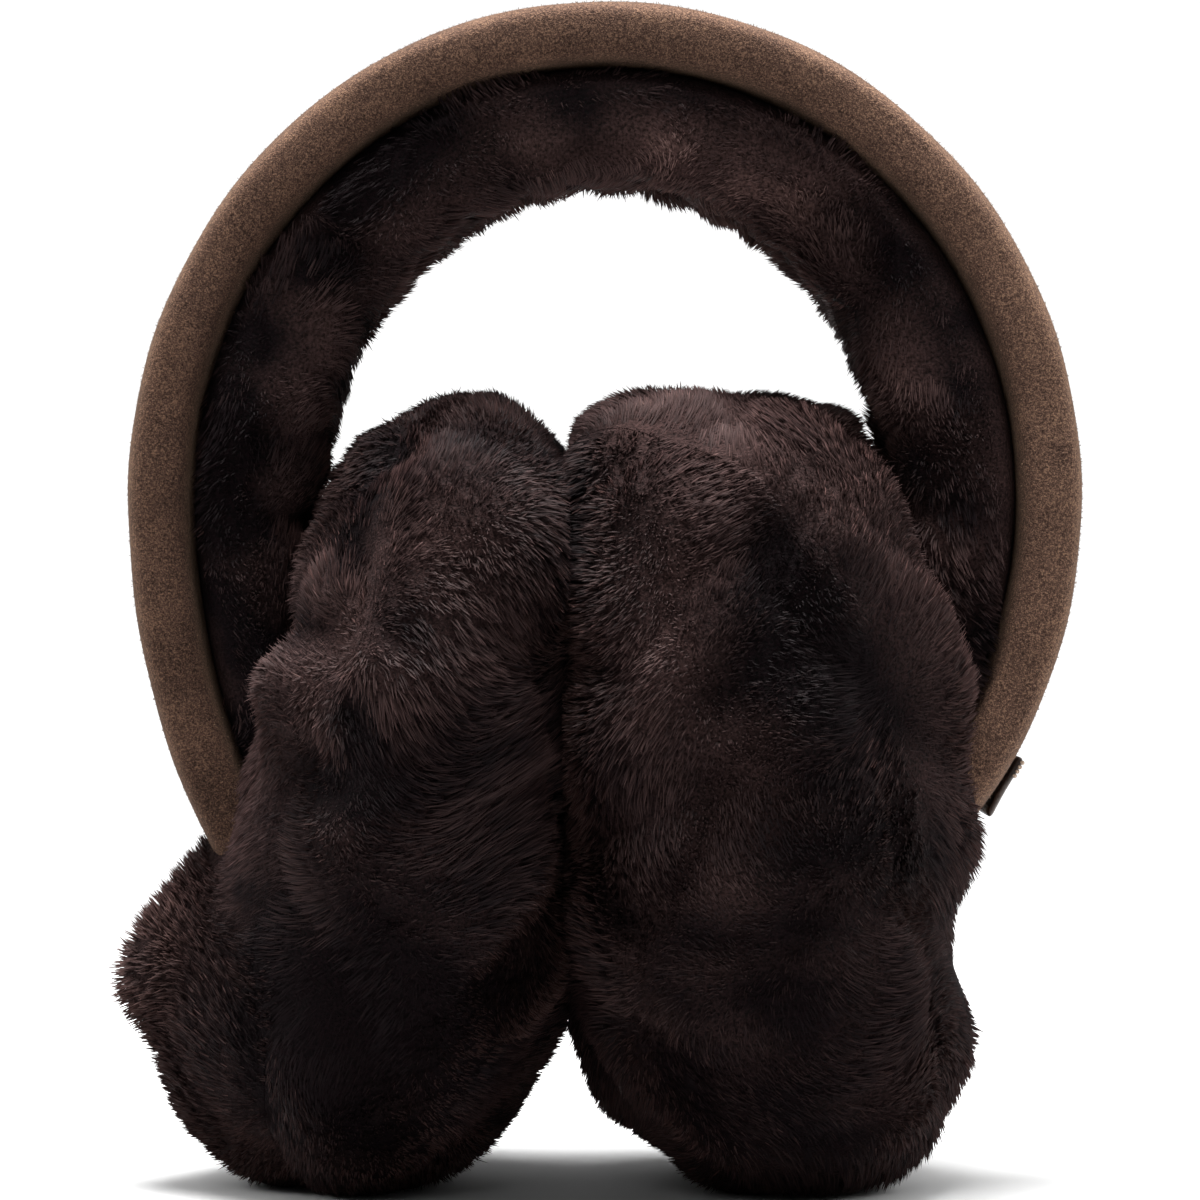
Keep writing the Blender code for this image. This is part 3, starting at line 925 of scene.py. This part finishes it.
# Directions spread evenly over a ball: each lies a golden angle round and one step down from the last,
# and is then moved a little by chance
def spiralDirections(count):
    index = np.arange(count) + 0.5
    rise = 1 - 2 * index / count
    turn = index * math.pi * (3 - math.sqrt(5))
    level = np.sqrt(1 - rise**2)
    spread = np.stack([level * np.cos(turn), level * np.sin(turn), rise], axis=-1)
    stray = fleece["lockShift"] * math.sqrt(4 * math.pi / count)
    return unit(spread + chance.normal(0, stray, spread.shape))


# Swells a pad's near side towards the plane where the pads meet, and keeps points on their own side of
# it and above the ground
def pressed(pad, points, clear):
    inner = pad["side"] * (points[:, 0] - pads["meetingPlane"])
    low, high = pads["swellLow"], pads["swellHigh"]
    ends = np.clip((points[:, 2] - low[0]) / (low[1] - low[0]), 0, 1)
    ends = ends * np.clip((high[1] - points[:, 2]) / (high[1] - high[0]), 0, 1)
    ends = ends**2 * (3 - 2 * ends)
    close = np.clip(1 - inner / pads["swellReach"], 0, 1) * ends
    x = pads["meetingPlane"] + pad["side"] * np.maximum(inner - pads["swell"] * close, clear)
    return np.stack([x, points[:, 1], np.maximum(points[:, 2], clear)], axis=-1)


# Tufts and hollows on the front of a pad, each a bell about its middle in the front view. The field lifts
# the tufts and paints light on them, and sinks the hollows and paints shade in them.
def patchField(pad, points):
    front = np.clip(-points[..., 1] / (0.3 * pads["depth"]), 0, 1)
    field = np.zeros(points.shape[:-1])
    for x, z, reach, change in pad["patches"]:
        distance = (points[..., 0] - x) ** 2 + (points[..., 2] - z) ** 2
        field += change * front * np.exp(-distance / reach**2)
    return field


# How far the lobes swell the pad at a point: each falls off as a bell with the distance from its middle
def lobeSwell(pad, points):
    swell = np.zeros(len(points))
    for outwards, front, up, reach, rise in pad["lobes"]:
        centre, _ = padBase(pad, unit(np.array([[pad["side"] * outwards, -front, up]])))
        distance = ((points - centre) ** 2).sum(axis=1) / (reach * pads["height"]) ** 2
        swell += rise * pad["half"] * np.exp(-distance)
    return swell


# The fur's outer form is the base with its lobes, locks and patches, less the groove along the seam.
# The hide lies a little under it, and less so where the pads press on each other.
def padForm(pad, directions, locks):
    points, out = padBase(pad, directions)
    swell = lobeSwell(pad, points)
    relief, away = lockRelief(points, locks, pads["lockReach"])
    seam = directions @ faceDirection(pad)
    opened = np.clip((pads["grooveTop"] - points[:, 2]) / pads["grooveRun"], 0.25, 1)
    groove = pad["groove"] * opened * np.exp(-((seam / pad["grooveSpread"]) ** 2))
    lift = swell + pads["lockRise"] * (relief - 0.5) - groove + pads["patchRise"] * patchField(pad, points)
    outer = pressed(pad, points + out * lift[:, None], 0.00015)
    inner = pad["side"] * (points[:, 0] - pads["meetingPlane"])
    deep = pads["hide"] * np.clip(inner / pads["thinReach"], 0.15, 1)
    hide = pressed(pad, points + out * (lift - deep)[:, None], 0.0001)
    tufted = np.clip((swell - pads["tuftedFrom"]) / pads["tuftedFrom"], 0, 1)
    return hide, outer, out, away, tufted


# Directions of a panel: from the pad's pole at 0 to the seam at 1, and once round its axis
def panelDirections(axis, share, turn):
    first = unit(np.cross(np.array([0.0, 0.0, 1.0]), axis))
    second = np.cross(axis, first)
    polar, angle = share[:, None] * math.pi / 2, turn[:, None] * 2 * math.pi
    return np.cos(polar) * axis + np.sin(polar) * (np.cos(angle) * first + np.sin(angle) * second)


# True for points in the room that the band takes
def inBand(points, margin):
    t, s = bandPlace(points)
    thick = band["coverThickness"] + liningThickness(t)
    inside = (s > -margin) & (s < thick + margin) & (downBand(t) < 1)
    return inside & (np.abs(points[:, 1]) < bandDepth / 2 + margin)


# The wool of a pad has painted shade low down, beside the seam and where the pads meet, painted light and
# shade on its tufts and hollows, and painted light round its outline. How far a place is from the seam is
# its direction from the pad's middle along the face's.
def padShade(pad, points):
    middle = pads["meetingPlane"] + pad["side"] * pad["half"]
    offset = unit(points - np.array([middle, 0.0, pads["height"] / 2]))
    seam = offset @ faceDirection(pad) - pads["seamShadeShift"]
    front = np.clip(-2 * offset[..., 1], 0, 1)
    # Painted light and shade by height
    heights, changes = zip(*pads["paintedShadeByHeight"])
    shade = fleeceShade(points) + np.interp(points[..., 2], heights, changes)
    # Painted shade beside the seam, on the face
    shade -= pad["seamShade"] * front * np.exp(-((seam / pads["seamShadeSpread"]) ** 2))
    inner = pad["side"] * (points[..., 0] - pads["meetingPlane"])
    # Painted shadow where the pads meet
    shade -= pads["paintedContactShadow"] * np.exp(-((inner / pads["contactShadowReach"]) ** 2))
    # Painted light on the tufts and painted shade in the hollows
    shade += patchField(pad, points)
    # Painted light round the outline and behind
    rim = 1 - np.clip(-points[..., 1] / (0.25 * pads["depth"]), 0, 1)
    return shade + pads["paintedRimLight"] * rim


# One panel of a pad: its hide out to the seam, and its pile, made as the lining's is
def buildPanel(name, pad, part, locks, wool, skin, seed):
    axis = faceDirection(pad) * (1 if part == "face" else -1)

    def form(share, turn):
        return padForm(pad, panelDirections(axis, share, turn), locks)

    def surface(share, turn):
        return form(share, turn)[1]

    # The hide, whose rim turns in at the seam
    rows, columns = 44, 110
    share, turn = np.meshgrid(np.linspace(0.02, 1, rows), np.arange(columns) / columns, indexing="ij")
    hide, _, out, _, _ = form(share.ravel(), turn.ravel())
    normal = slopeNormals(surface, share.ravel(), turn.ravel(), out)
    rings = hide.reshape(rows, columns, 3)
    rings[-1] += pads["seamGap"] * axis
    rim = rings[-1] - pads["rimTurn"] * out.reshape(rows, columns, 3)[-1]
    points, triangles = closedTube(np.concatenate([rings, rim[None]]))
    shading = np.concatenate([normal, np.tile(-axis, (columns, 1)), [axis, -axis]])
    base = makeMesh(f"hide_{name}", points, triangles, skin, shading, shadePlaces(padShade(pad, points)))
    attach(base, "root")
    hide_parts(f"pad_{name}")

    # The pile, thin where the pads press on each other and on the ground, and none in the band's room
    rng = np.random.default_rng(seed)

    def weight(grid):
        points = grid.reshape(-1, 3)
        inner = pad["side"] * (points[:, 0] - pads["meetingPlane"]) < 0.0002
        share = np.where(inner | (points[:, 2] < 0.0006), pads["flatShare"], 1.0)
        return np.where(inBand(points, 0.0), 0.02, share).reshape(grid.shape[:2])

    u, v = scatter(surface, weight, pads["tufts"], rng)
    _, outer, out, away, tufted = form(u, v)
    normal = slopeNormals(surface, u, v, out)
    out = unit(0.5 * out + 0.5 * normal)
    lean = pads["lean"] * wander(outer, pads["leanSize"], rng) + pads["lockLean"] * away
    lean = lean + np.array([0, 0, -pads["sag"]])
    lean = lean - along(lean, out) * out
    roots = outer - out * pads["pile"]
    longer = pads["tuftedLonger"] * tufted * rng.random(len(u))
    tips = outer + lean + out * (longer - 0.0002)[:, None]
    roots, tips, normal = tufts(roots, tips, normal, pads, rng)
    roots, tips = pressed(pad, roots, 0.0003), pressed(pad, tips, -0.0008)
    tips[:, 2] = np.maximum(tips[:, 2], 0.0001 + 0.0006 * rng.random(len(tips)))  # bent up by the ground
    keep = ~inBand(tips, pads["bandMargin"]) & ~inBand((roots + tips) / 2, pads["bandMargin"])
    # Painted light on the lobes' tufted wool
    tuftLight = pads["tuftedPaintedLight"] * np.repeat(tufted, pads["each"])
    shade = hairShade(padShade(pad, roots) + tuftLight, pads["each"], rng)
    width = pads["width"] * rng.uniform(*fleece["widths"], len(roots))
    piece = growHairs(f"pile_{name}", roots[keep], tips[keep], normal[keep], width[keep], shade[keep], wool)
    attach(piece, "root")


# Both panels of a pad share its locks, so that their forms meet at the seam
def buildPads(wool, skin):
    for number, (side, pad) in enumerate((("left", leftPad), ("right", rightPad))):
        locks, _ = padBase(pad, spiralDirections(pads["locks"]))
        for part in ("face", "back"):
            buildPanel(f"{part}_{side}", pad, part, locks, wool, skin, 31 + 2 * number + (part == "back"))


# Nap of the suede

# Short hairs on the outer face of the roll, which lie over where a hand has brushed them
def buildNap():
    rng = np.random.default_rng(51)
    u, v = scatter(
        coverSurface,
        lambda grid: np.where(bandPlace(grid)[1] < band["coverThickness"] * 0.92, 1.0, 0.0),
        cover["napHairs"],
        rng,
        cells=(300, 60),
    )
    roots = coverSurface(u, v)
    out = unit(roots - bandPoints(bandAngle(u), band["coverThickness"] / 2, roots[:, 1] * 0.8))
    lean = cover["napLean"] * (wander(roots, cover["napPatch"], rng) + rng.normal(size=roots.shape))
    length = cover["napLength"] * rng.uniform(0.5, 1.2, (len(roots), 1))
    tips = roots + unit(out + lean - along(lean, out) * out) * length
    width = cover["napWidth"] * rng.uniform(0.7, 1.4, len(roots))
    nap = suedeMaterial("suede nap", tube=False)
    piece = growHairs("suede_nap", roots - out * 0.0002, tips, out, width, u, nap, bend=0.00005)
    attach(piece, "root")


# Leather tab

tab = {
    "top": math.radians(30.6),
    "length": 0.0112,
    "depth": 0.0200,
    "thickness": 0.0016,
    "gap": 0.0003,
    "lift": 0.0007,
    "sewnShare": 0.4,
    "rings": 36,
    "sides": 40,
    "threadRadius": 0.00040,
    "stitches": 4,  # at each edge
    "firstStitch": 0.06,  # as shares of the length, as their step is
    "stitchStep": 0.075,
    "stitchLength": 0.0030,
    "stitchInset": 0.0022,
    "stitchSunk": 0.66,  # height of a thread's ends, as a share of the thickness
    "stitchArch": 0.0004,
}
tabStep = np.linalg.norm(bandPoints(-tab["top"], 0.0, 0.0) - bandPoints(-tab["top"] - 0.01, 0.0, 0.0)) / 0.01


# A place at a height over the tab's underside, which stands off the cover by its gap and, past its sewn
# share, by its lift
def tabPlace(share, off, y):
    loose = np.maximum(share - tab["sewnShare"], 0) / (1 - tab["sewnShare"])
    t = -tab["top"] - share * tab["length"] / tabStep
    return bandPoints(t, -tab["gap"] - off - tab["lift"] * loose**2, y)


# A thin plate with round edges: its section is a superellipse whose size runs down to nothing at
# both ends by a rounded profile
def buildTab():
    row, turn = np.meshgrid(
        np.linspace(0, 1, tab["rings"]), np.arange(tab["sides"]) / tab["sides"], indexing="ij"
    )
    share = 0.5 - 0.5 * np.cos(math.pi * row)
    ends = (1 - np.abs(2 * share - 1) ** 12) ** (1 / 3)
    angle = 2 * math.pi * turn
    across = signedPower(np.cos(angle), 0.28) * (0.86 + 0.14 * ends) * tab["depth"] / 2
    off = tab["thickness"] / 2 * (1 + signedPower(np.sin(angle), 0.6) * ends)
    points, triangles = closedTube(tabPlace(share, off, across))
    piece = makeMesh("leather_tab_plate", points, triangles, leatherMaterial("dark brown calf leather"))
    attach(piece, "root")
    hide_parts("leather_tab")

    thread = threadMaterial("waxed thread")
    for edge in (-1, 1):
        for number in range(tab["stitches"]):
            share = tab["firstStitch"] + tab["stitchStep"] * number
            step, ring = np.meshgrid(np.linspace(0, 1, 15), np.arange(10) / 10, indexing="ij")
            arch = np.sin(math.pi * step)
            y = edge * (tab["depth"] / 2 - tab["stitchInset"] + tab["stitchLength"] * step)
            off = tab["thickness"] * tab["stitchSunk"] + tab["stitchArch"] * arch
            radius = tab["threadRadius"] * (0.35 + 0.65 * arch)
            turning = 2 * math.pi * ring
            places = tabPlace(
                share + radius * np.cos(turning) / tab["length"], off + radius * np.sin(turning), y
            )
            points, triangles = closedTube(places)
            where = "front" if edge < 0 else "back"
            stitch = makeMesh(f"tab_stitch_{where}_{number}", points, triangles, thread)
            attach(stitch, "root")


# Studio

studio = {
    "distance": 0.90,
    "viewWidth": 0.2057,  # metres across the picture at the object's middle
    "aim": (-0.0009, 0.0, 0.0994),
    "floorColour": "#bcbcbc",
    "worldStrength": 0.10,
    "lights": (  # name, place, size and watts
        ("top", (-0.05, 0.00, 1.05), 0.6, 38.0),
        ("left", (-1.10, -0.10, 0.80), 0.6, 8.0),
        ("right", (1.10, 0.20, 0.75), 0.7, 10.5),
        ("front", (-0.20, -1.20, 1.00), 0.6, 1.5),
        ("wall", (0.0, 0.4, 1.9), 2.2, 55.0),
    ),
}


# Floor and backdrop in one sheet: flat, then a quarter circle, then a wall
def buildStudio():
    floor, _, _ = newMaterial(
        "pale studio floor", {"Roughness": 0.9, "Base Color": linear(studio["floorColour"])}
    )
    bend = np.linspace(0, math.pi / 2, 24)
    y = np.concatenate([[-6.0, 0.6], 0.9 + np.sin(bend) * 0.8, [1.7]])
    z = np.concatenate([[0.0, 0.0], 0.8 - np.cos(bend) * 0.8, [3.2]])
    x = np.array([-6.0, 6.0])
    points = np.stack([np.tile(x, len(y)), np.repeat(y, 2), np.repeat(z, 2)], axis=-1)
    a = 2 * np.arange(len(y) - 1)
    triangles = np.concatenate([np.stack([a, a + 1, a + 3], -1), np.stack([a, a + 3, a + 2], -1)])
    makeMesh("studio_floor", points, triangles, floor)

    world = bpy.data.worlds.new("studio")
    world.use_nodes = True
    backdrop = world.node_tree.nodes["Background"]
    backdrop.inputs["Color"].default_value = (1, 1, 1, 1)
    backdrop.inputs["Strength"].default_value = studio["worldStrength"]
    bpy.context.scene.world = world
    for name, place, size, power in studio["lights"]:
        light = bpy.data.lights.new(name, "AREA")
        light.energy = power
        light.size = size
        lamp = bpy.data.objects.new(name, light)
        lamp.location = place
        goal = Vector((0, 1.6, 0.6)) if name == "wall" else Vector((0, 0, 0.09))
        lamp.rotation_euler = (goal - Vector(place)).to_track_quat("-Z", "Y").to_euler()
        bpy.context.collection.objects.link(lamp)

    camera = bpy.data.cameras.new("camera")
    camera.sensor_width = 36
    camera.lens = 36 * studio["distance"] / studio["viewWidth"]
    eye = bpy.data.objects.new("camera", camera)
    x, y, z = studio["aim"]
    eye.location = (x, y - studio["distance"], z)
    eye.rotation_euler = (math.pi / 2, 0, 0)
    bpy.context.collection.objects.link(eye)
    bpy.context.scene.camera = eye
    bpy.context.scene.view_settings.view_transform = "Standard"


print("studio")
buildStudio()
wool, skin = woolMaterial("chocolate shearling wool"), skinMaterial("shearling hide")
print("headband")
buildCover()
print("lining")
buildLining(wool, skin)
print("pads")
buildPads(wool, skin)
print("nap and tab")
buildNap()
buildTab()

print("done")
